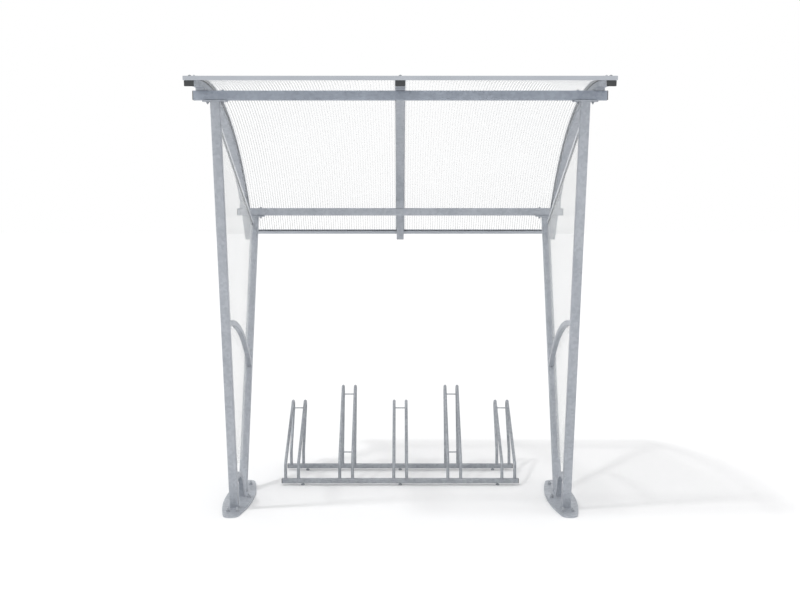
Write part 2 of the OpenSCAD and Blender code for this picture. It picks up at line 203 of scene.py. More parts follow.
print("points on a round section:", len(circle(TUBE / 2)))


# %% [markdown]
# ## Shader sums in Python
# Every finish is a small node tree. The nodes could be linked one by one, but they are easier
# to read as arithmetic. The class below wraps one socket, so that `0.4 + 0.2 * grain` adds the
# Math nodes by itself.

# %% A socket that can be added and multiplied
class Value:
    """One output socket in a material, used like a number."""

    def __init__(self, finish, socket):
        self.finish, self.socket = finish, socket

    def _sum(self, operation, a, b):
        return self.finish.node("ShaderNodeMath", {"operation": operation}, {0: a, 1: b})

    def __add__(self, other):
        return self._sum("ADD", self, other)

    def __sub__(self, other):
        return self._sum("SUBTRACT", self, other)

    def __mul__(self, other):
        return self._sum("MULTIPLY", self, other)

    __radd__, __rmul__ = __add__, __mul__


class Finish:
    """A material for one slot of the record, with one method that adds any node."""

    def __init__(self, name, slot):
        self.material = bpy.data.materials.new(name)
        self.material["slot"] = slot
        self.material.use_nodes = True
        self.tree = self.material.node_tree
        self.shader = self.tree.nodes["Principled BSDF"]

    def node(self, kind, settings=None, inputs=None, output=0):
        """Adds a node of a kind, sets its settings first and then its sockets."""
        made = self.tree.nodes.new(kind)
        for key, setting in (settings or {}).items():
            setattr(made, key, setting)
        for key, value in (inputs or {}).items():
            self.put(made.inputs[key], value)
        return Value(self, made.outputs[output])

    def put(self, socket, value):
        """Links a Value to a socket, or sets a plain number or colour on it."""
        if isinstance(value, Value):
            self.tree.links.new(value.socket, socket)
        else:
            socket.default_value = value

    def surface(self, **sockets):
        """Sets or links the shader's own sockets, named with underscores for spaces."""
        for key, value in sockets.items():
            self.put(self.shader.inputs[key.replace("_", " ").title().replace("Ior", "IOR")], value)
        return self.material

    def place(self, scale=(1, 1, 1)):
        """Object coordinates, stretched by scale."""
        where = self.node("ShaderNodeTexCoord", output="Object")
        return self.node("ShaderNodeMapping", {}, {"Vector": where, "Scale": scale})

    def noise(self, where, scale, detail=3.0, rough=0.55):
        """Smooth noise from 0 to 1."""
        return self.node("ShaderNodeTexNoise", {},
                         {"Vector": where, "Scale": scale, "Detail": detail, "Roughness": rough})

    def blend(self, share, first, second):
        """Colour mix: first where share is 0, second where it is 1."""
        return self.node("ShaderNodeMix", {"data_type": "RGBA"},
                         {0: share, 6: first, 7: second}, output=2)

    def bump(self, height, strength, distance):
        """Normal that follows a height, for the shader's Normal socket."""
        return self.node("ShaderNodeBump", {},
                         {"Height": height, "Strength": strength, "Distance": distance})


def colour(red, green, blue, alpha=1.0):
    """A screen colour, 0 to 255, as the linear colour that a shader takes."""
    part = np.array([red, green, blue]) / 255
    return (*np.where(part > 0.04045, ((part + 0.055) / 1.055) ** 2.4, part / 12.92), alpha)


# %% [markdown]
# ## Galvanised steel
# Hot-dip zinc is a dull blue-grey with faint crystals, the spangle, and slow clouds where
# the zinc ran. A picture of zinc could be wrapped on, but it would stretch and repeat on long
# tubes. Voronoi cells give the crystals, and two noises the clouds and the grain.

# %% Galvanised finishes
SPANGLE_SCALE, CLOUD_SCALE, GRAIN_SCALE = 70.0, 7.0, 420.0
DULL_METAL = 0.45


def galvanised(name, slot, pale, dark):
    """Zinc: cells 14 mm wide shift the colour and the gloss a little, clouds shift both more."""
    f = Finish(name, slot)
    where = f.place()
    crystal = f.node("ShaderNodeTexVoronoi", {}, {"Vector": where, "Scale": SPANGLE_SCALE},
                     output="Color")
    spangle = f.node("ShaderNodeSeparateColor", {}, {0: crystal})
    cloud = f.noise(f.place((1, 1, 0.35)), CLOUD_SCALE)
    grain = f.noise(where, GRAIN_SCALE, 2.0)
    share = 0.20 + 0.30 * spangle + 0.65 * (cloud - 0.25)
    return f.surface(base_color=f.blend(share, pale, dark), metallic=DULL_METAL,
                     roughness=0.36 + 0.12 * spangle + 0.14 * cloud,
                     normal=f.bump(grain + 0.5 * cloud, 0.12, 0.001))


zinc = galvanised("galvanised_steel", "galvanised_steel",
                  colour(187, 191, 197), colour(146, 151, 159))
# The front purlin's zinc is the legs' zinc painted darker: painted shade on its front face.
zinc_painted_shade = galvanised("galvanised_purlin_painted_shade", "galvanised_steel",
                         colour(166, 173, 184), colour(130, 137, 148))
zinc_rack = galvanised("galvanised_rack", "galvanised_rack",
                       colour(176, 180, 185), colour(132, 136, 142))
print("zinc finishes:", [made.name for made in (zinc, zinc_painted_shade, zinc_rack)])


# %% [markdown]
# Bolts are plated and not dipped, and a weld bead is smoother than the tube round it. The
# dipped finish could serve here too, but its crystals are larger than a nut. So one fine noise
# gives the colour, the gloss and the bump, and a bead's ripples are left to its shape.

# %% Welds and bolts
def bright_zinc(name, slot, pale, dark):
    """Plated fasteners and beads: finer grain and more gloss than the dipped tube."""
    f = Finish(name, slot)
    grain = f.noise(f.place(), 260.0)
    return f.surface(base_color=f.blend(grain, pale, dark), metallic=0.4,
                     roughness=0.26 + 0.2 * grain, normal=f.bump(grain, 0.2, 0.0006))


bolt_zinc = bright_zinc("bolt_zinc", "galvanised_steel",
                        colour(186, 190, 195), colour(146, 150, 156))
weld_zinc = bright_zinc("weld_zinc", "galvanised_steel",
                        colour(178, 183, 190), colour(134, 139, 147))
rack_weld_zinc = bright_zinc("rack_weld_zinc", "galvanised_rack",
                             colour(170, 174, 180), colour(128, 132, 138))
print("bright finishes:", [made.name for made in (bolt_zinc, weld_zinc, rack_weld_zinc)])

# %% [markdown]
# ## Aluminium, plastic and rubber
# Drawn profiles have fine lines along their length. Moulded plugs and rubber strips have an
# even matt grain. The lines could be wave bands, but those are too regular, so they are noise
# that is drawn out along the profile.

# %% Trim finishes
ALONG, ACROSS = 3, 700
MOTTLE = 0.6


def drawn(name, slot, stretch, pale, dark, metallic):
    """Aluminium with fine lines: a low noise scale along the profile and a high one across it
    give the lines, and slow clouds shift the colour as much as the lines do."""
    f = Finish(name, slot)
    line = f.noise(f.place(stretch), 1.0, 2.0)
    cloud = f.noise(f.place(), 5.0)
    return f.surface(
        base_color=f.blend(0.5 * line + 0.5 * cloud, pale, dark),
        metallic=metallic, roughness=0.28 + 0.16 * line, normal=f.bump(line, 0.05, 0.0004))


def moulded(name, slot, shade, grain_size, gloss):
    """Plastic or rubber: one shade, mottled down to MOTTLE times itself by a fine grain."""
    f = Finish(name, slot)
    grain = f.noise(f.place(), grain_size)
    darker = tuple(MOTTLE * part for part in shade[:3]) + (1.0,)
    return f.surface(base_color=f.blend(grain, shade, darker), roughness=gloss + 0.15 * grain,
                     normal=f.bump(grain, 0.15, 0.0005))


drawn_across = drawn("aluminium_drawn_across", "aluminium", (ALONG, ACROSS, ACROSS),
                     colour(190, 194, 200), colour(164, 169, 176), 0.6)
# The cover strips' aluminium is paler and less metallic than the edge rail's: painted light on
# their shaded undersides.
drawn_along_painted_light = drawn("aluminium_drawn_along", "aluminium", (ACROSS, ALONG, ALONG),
                    colour(224, 227, 231), colour(204, 208, 213), 0.25)
# The panel trims' aluminium is paler and less metallic too: painted light on their shaded
# undersides.
panel_edge_painted_light = drawn("aluminium_panel_edge", "aluminium", (ACROSS, ALONG, ACROSS),
                   colour(222, 225, 229), colour(200, 204, 209), 0.3)
plug_black = moulded("plug_black", "black_plastic", colour(62, 65, 66), 500.0, 0.42)
seal_black = moulded("seal_black", "black_rubber", colour(62, 63, 64), 300.0, 0.6)
# The gasket rubber is painted mid grey, not black: painted light over the shade in the crevice
# between rib and sheet.
seal_painted_light = moulded("seal_painted_light", "black_rubber", colour(122, 124, 127), 300.0, 0.7)
print("rubber finishes:", seal_black.name, seal_painted_light.name)


# %% [markdown]
# ## Clear multiwall sheet
# The real sheet is two thin skins held apart by thin upright webs. Seen from below, the skins
# let the light through with a milky veil, and the webs show as fine grey lines. A glass shader
# would bend the view in every thin wall and needs many samples. Alpha lets the light straight
# through, so each finish has a share of cover: nearly none on the skins, since a look through
# both has to stay light, and more on the roof's webs.

# %% Sheet finishes
MILK = colour(244, 246, 247)


def clear_sheet(name, slot, tint, cover):
    """Milky clear plastic: an even cover, clouded very slightly."""
    f = Finish(name, slot)
    cloud = f.noise(f.place(), 3.0)
    made = f.surface(base_color=f.blend(cloud, tint, MILK),
                     roughness=0.16 + 0.1 * cloud, alpha=cover + 0.01 * cloud, ior=1.5)
    made.surface_render_method = "BLENDED"
    return made


roof_skin = clear_sheet("roof_sheet_skin", "multiwall_sheet", colour(240, 241, 242), 0.012)
roof_web = clear_sheet("roof_sheet_web", "multiwall_sheet", colour(180, 184, 188), 0.30)
side_skin = clear_sheet("side_sheet_skin", "side_sheet", colour(205, 206, 205), 0.074)
side_web = clear_sheet("side_sheet_web", "side_sheet", colour(206, 207, 206), 0.03)
print("materials:", len(bpy.data.materials))

# %% [markdown]
# ## Square tubes
# Rolled tube has round corners, which catch a thin line of light. A box with a bevel could
# show that. Here each tube is a rounded square carried from end to end, as it is rolled. The
# legs lean, and are cut level at both ends, so their section is drawn in the level plane, where
# it is one over the cosine of the lean times as long.

# %% Straight tubes along X
CORNER = 0.005
SMALL_CORNER = 0.0035


def along_x(node, side_size, corner):
    """Rings at the two ends of a node's box, which is a tube along X."""
    a, b = low(node), high(node)
    middle = (a + b) / 2
    ends = np.array([[a[0], middle[1], middle[2]], [b[0], middle[1], middle[2]]])
    outline = round_rect(side_size, side_size, corner)
    return ring_solid(carried(outline, ends, [0, 1, 0], [0, 0, 1]))


# The front purlin takes the zinc with painted shade, and the rear purlin takes plain zinc.
for node, size, corner, finish in (("front_purlin", TUBE, CORNER, zinc_painted_shade),
                                   ("rear_purlin", TUBE, CORNER, zinc),
                                   ("rack_front_rail", SMALL_TUBE, SMALL_CORNER, zinc_rack),
                                   ("rack_rear_rail", SMALL_TUBE, SMALL_CORNER, zinc_rack)):
    piece(node + "_tube", along_x(node, size, corner), finish, (node,))


# %% Leaning legs
SETTLING_ROUNDS = 20


def level_reach(node):
    """Half length of a leg's level section. The box is as deep as the leg's run plus one
    section, so rounds of run = depth - 2 * reach, reach = half a tube / cosine, settle it."""
    depth, rise = (high(node) - low(node))[1:]
    reach = TUBE / 2
    for _ in range(SETTLING_ROUNDS):
        reach = TUBE / 2 * math.hypot(1, (depth - 2 * reach) / rise)
    return reach


def leg_ends(node):
    """Centres of the level sections at the foot and the head of a leg."""
    a, b = low(node), high(node)
    reach, x = level_reach(node), (a[0] + b[0]) / 2
    forward = "front" in node
    foot_y = b[1] - reach if forward else a[1] + reach
    head_y = a[1] + reach if forward else b[1] - reach
    return np.array([[x, foot_y, a[2]], [x, head_y, b[2]]])


LEGS = [f"{side}_{end}_leg" for side in ("left", "right") for end in ("front", "rear")]
for node in LEGS:
    section = round_rect(TUBE, 2 * level_reach(node), CORNER)
    rings = carried(section, leg_ends(node), [1, 0, 0], [0, 1, 0])
    piece(node + "_tube", ring_solid(rings), zinc, (node,))


# %% [markdown]
# ## Curved tubes
# Ribs and braces are bent about an axis across the shelter. A straight tube could be bent with
# a modifier, but its ends would drift. So each station is placed on the arc: at angle a it lies
# at axis + r * (0, cos a, sin a), and the profile stands on the radius there.

# %% Ribs
def bent(outline, axis, radius, first, last, steps, x):
    """Rings of an outline along an arc: u runs along X and v along the radius."""
    a = np.linspace(first, last, steps + 1)
    out = np.stack([np.zeros_like(a), np.cos(a), np.sin(a)], axis=1)
    origins = np.asarray(axis) + [x, 0, 0] + radius * out
    side = np.tile([1.0, 0.0, 0.0], (len(a), 1))
    return carried(outline, origins, side, out)


def roof_angle(y, radius):
    """Angle about the roof's axis at which an arc of that radius is at y."""
    return math.acos((y - arc_axis[1]) / radius)


CAP = 0.004
NOSE_SETBACK = 0.006
RIB_CORNER = 0.004
RIB_STEPS = 96
RIBS = {node: (low(node)[0] + high(node)[0]) / 2
        for node in ("left_rib", "centre_rib", "right_rib")}
tail_angle = roof_angle(cad_box[1][1], RIB_RADIUS)
nose_angle = roof_angle(nose_y, ROOF_OUTSIDE)
rib_first = tail_angle + CAP / RIB_RADIUS
rib_last = nose_angle - NOSE_SETBACK / RIB_RADIUS
rib_outline = round_rect(TUBE, RIB_DEPTH, RIB_CORNER)
for node, x in RIBS.items():
    rings = bent(rib_outline, arc_axis, RIB_RADIUS - RIB_DEPTH / 2, rib_last, rib_first,
                 RIB_STEPS, x)
    piece(node + "_tube", ring_solid(rings), zinc, (node,))

# %% [markdown]
# ## Braces
# Each side frame has a long arched brace of 30 mm tube between its legs, and a short one
# that leaves the front leg level and turns down onto the foot plate. Their ends could be cut to
# the legs' slope, but the cut wouldn't show. So both simply run a little way into the legs.
# A brace is a hair narrower than its box, because its side would else lie in a leg's own side.

# %% Arched braces and foot braces
BRACE_SETBACK, BRACE_RADIUS, BRACE_TOP = 0.565, 1.284, 1.159
BRACE = 0.030
BRACE_EASE = 0.0004
BURIED = 0.007
ARC_STEPS, FOOT_STEPS = 40, 24
brace_outline = round_rect(BRACE - BRACE_EASE, BRACE, SMALL_CORNER)
brace_axis = np.array([0.0, nose_y + BRACE_SETBACK, BRACE_TOP - BRACE_RADIUS])
for side in ("left", "right"):
    node = side + "_arc_brace"
    a, b = low(node), high(node)
    first = math.acos((b[1] + BURIED - brace_axis[1]) / BRACE_RADIUS)
    last = math.acos((a[1] - BURIED - brace_axis[1]) / BRACE_RADIUS)
    rings = bent(brace_outline, brace_axis, BRACE_RADIUS - BRACE / 2, last, first, ARC_STEPS,
                 (a[0] + b[0]) / 2)
    piece(node + "_tube", ring_solid(rings), zinc, (node,))

    node = side + "_foot_brace"
    a, b = low(node), high(node)
    radius = b[2] - a[2]
    turn_axis = np.array([0.0, b[1] - radius, a[2]])
    x = (a[0] + b[0]) / 2
    arc = bent(brace_outline, turn_axis, radius - BRACE / 2, math.pi / 2, 0.0, FOOT_STEPS, x)
    start = carried(brace_outline, [[x, a[1] - BURIED, b[2] - BRACE / 2]], [1, 0, 0], [0, 0, 1])
    piece(node + "_tube", ring_solid(np.concatenate([start, arc])), zinc, (node,))

# %% [markdown]
# ## Plates, saddles, rails and trim
# Plates, saddles and rack feet are cut steel, the rails and trims are drawn profiles, and the
# strips between ribs and roof are rubber. Each could be modelled again, but the imported meshes
# already have the right edges, so a finish is all that they need.

# %% Finishes for the nodes that keep their own mesh
# The gaskets, cover strips and panel trims take finishes with painted light over the shade beneath
# and beside them.
KEPT = {"base_plate": zinc, "head_plate": zinc, "saddles": zinc, "gaskets": seal_painted_light,
        "edge_rail": drawn_across, "cover_strip": drawn_along_painted_light, "panel_trim": panel_edge_painted_light,
        "rack_feet": zinc_rack}
for node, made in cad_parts.items():
    for word, finish in KEPT.items():
        if word in node:
            made.data.materials.clear()
            made.data.materials.append(finish)
            print(node, "takes", finish.name)

# %% [markdown]
# ## End plugs
# The ends of the ribs, purlins and rack rails have black moulded plugs. A plug's flange is as
# wide as the tube and its rim is rounded over. A bevelled plate would do, but a few rings that
# shrink over the last millimetre also follow the slope of a rib's end.

# %% Plugs
PLUG_CORNER = 0.004
PLUG_RIM = ((0.0, None), (0.0, 0.0012), (0.0012, 0.0004), (0.0035, 0.0))


def plug_rings(width, height, thickness):
    """Sections of a plug as (outline, distance out): each row of PLUG_RIM is how much smaller
    the section is, and how far below the plug's face it lies, or None at the tube's end."""
    return [(round_rect(width - less, height - less, PLUG_CORNER),
             0.0 if below is None else thickness - below) for less, below in PLUG_RIM]


def straight_plug(at, way, side):
    """Plug on a tube end at a point, pointing along X by way = -1 or +1."""
    rings = [carried(o, [np.add(at, [way * d, 0, 0])], [0, 1, 0], [0, 0, 1])
             for o, d in plug_rings(side, side, CAP)]
    return ring_solid(np.concatenate(rings)[::way])


def rib_plug(x, angle, way):
    """Plug on a rib's end at an angle about the roof's axis, pointing on round the arc."""
    out = np.array([0, math.cos(angle), math.sin(angle)])
    along = way * np.array([0, -math.sin(angle), math.cos(angle)])
    at = arc_axis + [x, 0, 0] + (RIB_RADIUS - RIB_DEPTH / 2) * out
    rings = [carried(o, [at + d * along], [1, 0, 0], out)
             for o, d in plug_rings(TUBE, RIB_DEPTH, CAP)]
    return ring_solid(np.concatenate(rings)[::-way])


def rail_plugs(rails, side):
    """Plugs on both ends of tubes along X."""
    made = []
    for rail in rails:
        a, b = low(rail), high(rail)
        middle = (a + b) / 2
        made.append(straight_plug([b[0], middle[1], middle[2]], 1, side))
        made.append(straight_plug([a[0], middle[1], middle[2]], -1, side))
    return joined(made)


piece("purlin_plugs", rail_plugs(("front_purlin", "rear_purlin"), TUBE), plug_black,
      ("purlin_end_caps",))
piece("rack_plugs", rail_plugs(("rack_front_rail", "rack_rear_rail"), SMALL_TUBE), plug_black,
      ("rack_rail_caps",))
piece("rib_plugs", joined([rib_plug(x, a, way) for x in RIBS.values()
                           for a, way in ((rib_last, 1), (rib_first, -1))]), plug_black,
      ("rib_end_caps",))

# %% [markdown]
# ## Multiwall roof
# A multiwall sheet is extruded: two skins with upright webs between them, one every 16 mm,
# running from the front rail to the rear rail. The lines could be drawn by a material on one
# plain sheet, but they would look painted on. Webs built as real strips make the fine lines
# appear, and shift with the view, by themselves.

# %% Skins and webs of a curved sheet
ROOF_PITCH = 0.016
SKIN = 0.0007
WEB = 0.0017
SKIN_STEPS, WEB_STEPS = 72, 40


def sector(x0, x1, r0, r1, first, last, steps):
    """Closed ring sector about the roof's axis: the rectangle x0..x1 by r0..r1 carried
    along the arc. Its rings are axis + (x, r cos a, r sin a)."""
    corners = np.array([[x0, r0], [x1, r0], [x1, r1], [x0, r1]])
    a = np.linspace(first, last, steps + 1)[:, None]
    rings = np.stack([np.broadcast_to(corners[:, 0], (steps + 1, 4)),
                      corners[:, 1] * np.cos(a), corners[:, 1] * np.sin(a)], axis=-1)
    return ring_solid(rings + arc_axis)


for side in ("left", "right"):
    node = side + "_roof_sheet"
    a, b = low(node), high(node)
    inner = RIB_RADIUS + GASKET + WALL_CLEARANCE
    outer = RIB_RADIUS + GASKET + SHEET - WALL_CLEARANCE
    first, last = roof_angle(a[1], outer), roof_angle(b[1], outer)
    skins = [sector(a[0], b[0], r, r + SKIN, first, last, SKIN_STEPS)
             for r in (inner, outer - SKIN)]
    piece(node + "_skins", joined(skins), roof_skin, (node,))
    middles = np.arange(a[0] + WEB / 2, b[0], ROOF_PITCH)
    webs = [sector(x - WEB / 2, x + WEB / 2, inner + SKIN, outer - SKIN, first, last,
                   WEB_STEPS)
            for x in middles]
    piece(node + "_webs", joined(webs), roof_web)
    print(node, "webs:", len(webs))

# %% [markdown]
# The side panels are flat twin-wall sheets between the legs, with upright webs every 10.5 mm.
# A sheet could be cut to shape with a boolean, but its outline is only four straight edges. So
# it is worked out from the two leaning legs and the trim along its top edge.

# %% Skins and webs of a flat panel
PANEL_PITCH = 0.0105
HALF_SIDE_WEB = WEB / 3
FIRST_WEB, LAST_WEB, SHORTEST_WEB = 0.006, 0.002, 0.002
TRIM_HEIGHT = 0.020


def leg_face(node, way, z):
    """Y of a leg's face at height z: the straight line from foot to head, plus the reach."""
    foot, head = leg_ends(node)
    share = (head[1] - foot[1]) * (z - foot[2]) / (head[2] - foot[2])
    return foot[1] + share + way * level_reach(node)


def leg_height(node, way, y):
    """Height at which a leg's face passes y, the inverse of leg_face."""
    y0, y1 = leg_face(node, way, 0.0), leg_face(node, way, 1.0)
    return (y - y0) / (y1 - y0)


def slab(outline, x0, x1):
    """A flat outline of (y, z) points as a closed slab from x0 to x1."""
    y, z = outline[:, 0], outline[:, 1]
    return ring_solid(np.stack([np.stack([np.full(len(y), x), y, z], axis=1) for x in (x1, x0)]))


for side in ("left", "right"):
    front, rear, node = side + "_front_leg", side + "_rear_leg", side + "_side_panel"
    a, b = low(node), high(node)
    trim_low, trim_high = low(side + "_panel_trim"), high(side + "_panel_trim")
    top_front = trim_high[2] - TRIM - WALL_CLEARANCE
    top_rear = trim_low[2] + TRIM_HEIGHT - TRIM - WALL_CLEARANCE
    edge = WALL_CLEARANCE
    outline = np.array([[leg_face(front, 1, a[2]) + edge, a[2]],
                        [leg_face(rear, -1, a[2]) - edge, a[2]],
                        [leg_face(rear, -1, top_rear) - edge, top_rear],
                        [leg_face(front, 1, top_front) + edge, top_front]])
    skins = [slab(outline, x, x + SKIN) for x in (a[0], b[0] - SKIN)]
    piece(node + "_skins", joined(skins), side_skin, (node,))
    y = np.arange(outline[3, 0] + FIRST_WEB, outline[2, 0] - LAST_WEB, PANEL_PITCH)
    top = np.interp(y, [outline[3, 0], outline[2, 0]], [top_front, top_rear])
    foot = np.maximum(np.maximum(leg_height(front, 1, y - edge), leg_height(rear, -1, y + edge)),
                      a[2])
    strips = [np.array([[p - HALF_SIDE_WEB, f], [p + HALF_SIDE_WEB, f],
                        [p + HALF_SIDE_WEB, t], [p - HALF_SIDE_WEB, t]])
              for p, f, t in zip(y, foot, top) if t - f > SHORTEST_WEB]
    webs = [slab(strip, a[0] + SKIN, b[0] - SKIN) for strip in strips]
    piece(node + "_webs", joined(webs), side_web)
    print(node, "webs:", len(webs))

# %% [markdown]
# ## Wheel holders
# Each holder is two hoops of 20 mm tube, bent from one length: up from the front rail, a
# long slope to a tight bend at the top, and back down to the rear rail. A Bezier curve could
# follow it, but a tube bender makes straights and true arcs. So the route is a chain of
# corners, and each corner is replaced with an arc that touches both sides.

# %% Round tube along rounded corners
HOOP, ROD, HOOP_GAP, HOOP_BEND = 0.010, 0.004, 0.083, 0.035
HOLDER_PITCH = 0.350
ROD_SIDES = 16
BEND_STEP = math.radians(6)


def rounded_route(corners, bend, step=BEND_STEP):
    """Stations (y, z, heading) along a chain of corners, with each corner an arc of radius
    bend. The arc leaves the side at bend * tan(turn / 2) before the corner."""
    corners = np.asarray(corners, dtype=float)
    run = np.diff(corners, axis=0)
    heading = np.arctan2(run[:, 1], run[:, 0])
    stations = [np.array([[*corners[0], heading[0]]])]
    for k in range(1, len(corners) - 1):
        turn = (heading[k] - heading[k - 1] + math.pi) % (2 * math.pi) - math.pi
        setback = bend * math.tan(abs(turn) / 2)
        cosine, sine = math.cos(heading[k - 1]), math.sin(heading[k - 1])
        start = corners[k] - setback * np.array([cosine, sine])
        sign = math.copysign(1.0, turn)
        centre = start + bend * sign * np.array([-sine, cosine])
        h = heading[k - 1] + turn * np.linspace(0, 1, max(2, math.ceil(abs(turn) / step)) + 1)
        points = centre + bend * sign * np.stack([np.sin(h), -np.cos(h)], axis=1)
        stations.append(np.column_stack([points, h]))
        # The sides after this corner go on from the arc's last heading, with no full turn between
        heading[k:] += heading[k - 1] + turn - heading[k]
    stations.append(np.array([[*corners[-1], heading[-1]]]))
    return np.concatenate(stations)


def round_tube(stations, x, radius, sides=24):
    """Tube about a route in the plane at x: each ring is the centre + radius * (cos p across,
    sin p along the route's own normal)."""
    out = np.stack([np.zeros(len(stations)), -np.sin(stations[:, 2]), np.cos(stations[:, 2])],
                   axis=1)
    centres = np.column_stack([np.full(len(stations), x), stations[:, :2]])
    across = np.tile([1.0, 0.0, 0.0], (len(stations), 1))
    return ring_solid(carried(circle(radius, sides), centres, across, out))


# %% Five wheel holders
rack_front = (low("rack_front_rail") + high("rack_front_rail")) / 2
rack_rear = (low("rack_rear_rail") + high("rack_rear_rail")) / 2
rack_top = high("rack_front_rail")[2]
rail_gap = rack_rear[1] - rack_front[1]
print("rack rails apart:", round(rail_gap, 3))
rack_origin = np.array([rack_front[1], rack_top])
LOW_HOOP = np.array([[0, 0], [0.005, 0.094], [0.687, 0.483], [rail_gap + 0.001, 0.092],
                     [rail_gap - 0.005, 0]])
HIGH_HOOP = np.array([[0, 0], [0.005, 0.101], [0.594, 0.600], [rail_gap - 0.001, 0.096],
                      [rail_gap - 0.005, 0]])


def on_run(corners, k, share):
    """Point on the straight side that leaves corner k, a share of the way along."""
    return corners[k] + (corners[k + 1] - corners[k]) * share


LOW_RODS = [on_run(LOW_HOOP, 1, 0.70)]
HIGH_RODS = [on_run(HIGH_HOOP, 1, 0.74), on_run(HIGH_HOOP, 3, 0.15)]
ROD_HALF = HOOP_GAP / 2 - HOOP * 0.8
ROD_BEAD_AT = HOOP_GAP / 2 - HOOP + 0.0006
rack_joints = []
for number in range(1, 6):
    middle = (number - 3) * HOLDER_PITCH
    corners, rods = (HIGH_HOOP, HIGH_RODS) if number % 2 == 0 else (LOW_HOOP, LOW_RODS)
    route = rounded_route(corners + rack_origin, HOOP_BEND)
    parts = [round_tube(route, middle + way * HOOP_GAP / 2, HOOP) for way in (-1, 1)]
    for rod in rods:
        y, z = rod + rack_origin
        ends = [[middle - ROD_HALF, y, z], [middle + ROD_HALF, y, z]]
        parts.append(ring_solid(carried(circle(ROD, ROD_SIDES), ends, [0, 1, 0], [0, 0, 1])))
        rack_joints += [((middle + way * ROD_BEAD_AT, y, z), (1, 0, 0), ROD)
                        for way in (-1, 1)]
    for y, z in (corners[0] + rack_origin, corners[-1] + rack_origin):
        rack_joints += [((middle + way * HOOP_GAP / 2, y, z), (0, 0, 1), HOOP)
                        for way in (-1, 1)]
    name = f"wheel_holder_{number}"
    piece(name + "_hoops", joined(parts), zinc_rack, (name,))

# %% [markdown]
# ## Weld beads
# A bead is a small round fillet along a joint, with the ripples that the torch leaves. A bump
# in the material would lie flat at the edge of the tube. So the centre line goes round the tube
# at the joint, and the bead's own radius swells and shrinks.

# %% Beads
SWELL = 0.16
SEAT = 0.3
FRAME_BEAD, FOOT_BEAD, HOOP_BEAD, ROD_BEAD = 0.003, 0.0025, 0.0022, 0.0014
SQUARE_RIPPLE, ROUND_RIPPLE = 0.0065, 0.0045
SQUARE_SPACING, ROUND_SPACING = 0.0016, 0.0011


def bead(points, radius, ripple, sides=8):
    """Closed bead along points on a loop: ring = point + r * (cos p outward + sin p along
    the loop's axis), with r = radius * (1 + SWELL * sin(2 pi s / ripple)) at distance s."""
    points = np.asarray(points, dtype=float)
    ahead = np.roll(points, -1, axis=0) - np.roll(points, 1, axis=0)
    ahead /= np.linalg.norm(ahead, axis=1)[:, None]
    axis = np.cross(points[0] - points.mean(0), ahead[0])
    axis /= np.linalg.norm(axis)
    out = np.cross(ahead, axis)
    s = np.cumsum(np.linalg.norm(points - np.roll(points, 1, axis=0), axis=1))
    r = radius * (1 + SWELL * np.sin(2 * math.pi * s / ripple))
    p = np.arange(sides) * 2 * math.pi / sides
    rings = (points[:, None] + r[:, None, None] * (np.cos(p)[None, :, None] * out[:, None]
             + np.sin(p)[None, :, None] * axis))
    return ring_solid(rings[:, ::-1], closed=True)


def resampled(loop, spacing):
    """Points at an even spacing round a closed loop, by interpolation on its length."""
    closed = np.vstack([loop, loop[:1]])
    s = np.concatenate([[0], np.cumsum(np.linalg.norm(np.diff(closed, axis=0), axis=1))])
    at = np.linspace(0, s[-1], max(12, int(s[-1] / spacing)), endpoint=False)
    return np.stack([np.interp(at, s, closed[:, k]) for k in range(closed.shape[1])], axis=1)


def round_bead(at, axis, tube_radius, size):
    """Bead round the foot of a round tube that stands along an axis, SEAT of its size out."""
    axis = np.asarray(axis, dtype=float)
    u = np.cross(axis, [0.0, 1.0, 0.1])
    u /= np.linalg.norm(u)
    v = np.cross(axis, u)
    ring = resampled(circle(tube_radius + size * SEAT, 48), ROUND_SPACING)
    return bead(np.asarray(at) + ring[:, :1] * u + ring[:, 1:] * v, size, ROUND_RIPPLE)


def square_bead(section, centre, size):
    """Bead round an upright square tube: the level section, grown by SEAT of the size."""
    loop = resampled(section * (1 + size / np.abs(section).max() * SEAT), SQUARE_SPACING)
    return bead(np.asarray(centre) + np.pad(loop, ((0, 0), (0, 1))), size, SQUARE_RIPPLE)


piece("rack_beads", joined([round_bead(at, axis, r, ROD_BEAD if r == ROD else HOOP_BEAD)
                            for at, axis, r in rack_joints]), rack_weld_zinc, smooth=180)

beads = []
for node in LEGS:
    section = round_rect(TUBE, 2 * level_reach(node), CORNER)
    for centre in leg_ends(node):
        beads.append(square_bead(section, centre, FRAME_BEAD))
for side in ("left", "right"):
    a, b = low(side + "_foot_brace"), high(side + "_foot_brace")
    beads.append(square_bead(brace_outline, [(a[0] + b[0]) / 2, b[1] - BRACE / 2, a[2]],
                             FOOT_BEAD))
piece("frame_beads", joined(beads), weld_zinc, smooth=180)

# %% [markdown]
# ## Bolts, anchors and screws
# The purlins are bolted through the head plates, and the foot plates are held by nuts on anchor
# studs. A six-sided cylinder would be a start, but its edges would be sharp. So a hex head is
# a lathe profile with six sides: full width, then a chamfer.

# %% Fasteners
M8_WASHER, M8_FLATS, M8_HEAD, M8_NUT, M8_THREAD = (0.008, 0.0016), 0.013, 0.0053, 0.0065, 0.004
M12_WASHER, M12_FLATS, M12_NUT, M12_THREAD = (0.0125, 0.0025), 0.019, 0.010, 0.006
M8_OUT, M12_OUT = 0.005, 0.012
RIDGE_STEP, RIDGE_DEPTH = 0.0006, 0.00045


def hexagon(flats, height, chamfer=0.0012):
    """Hex nut or head standing on z = 0, its corners at flats / (2 cos 30 degrees)."""
    corner = flats / 2 / math.cos(math.pi / 6)
    return lathe([(corner - 0.0005, 0), (corner, 0.0006), (corner, height - chamfer),
                  (corner - chamfer * 1.4, height)], 6, math.pi / 6)


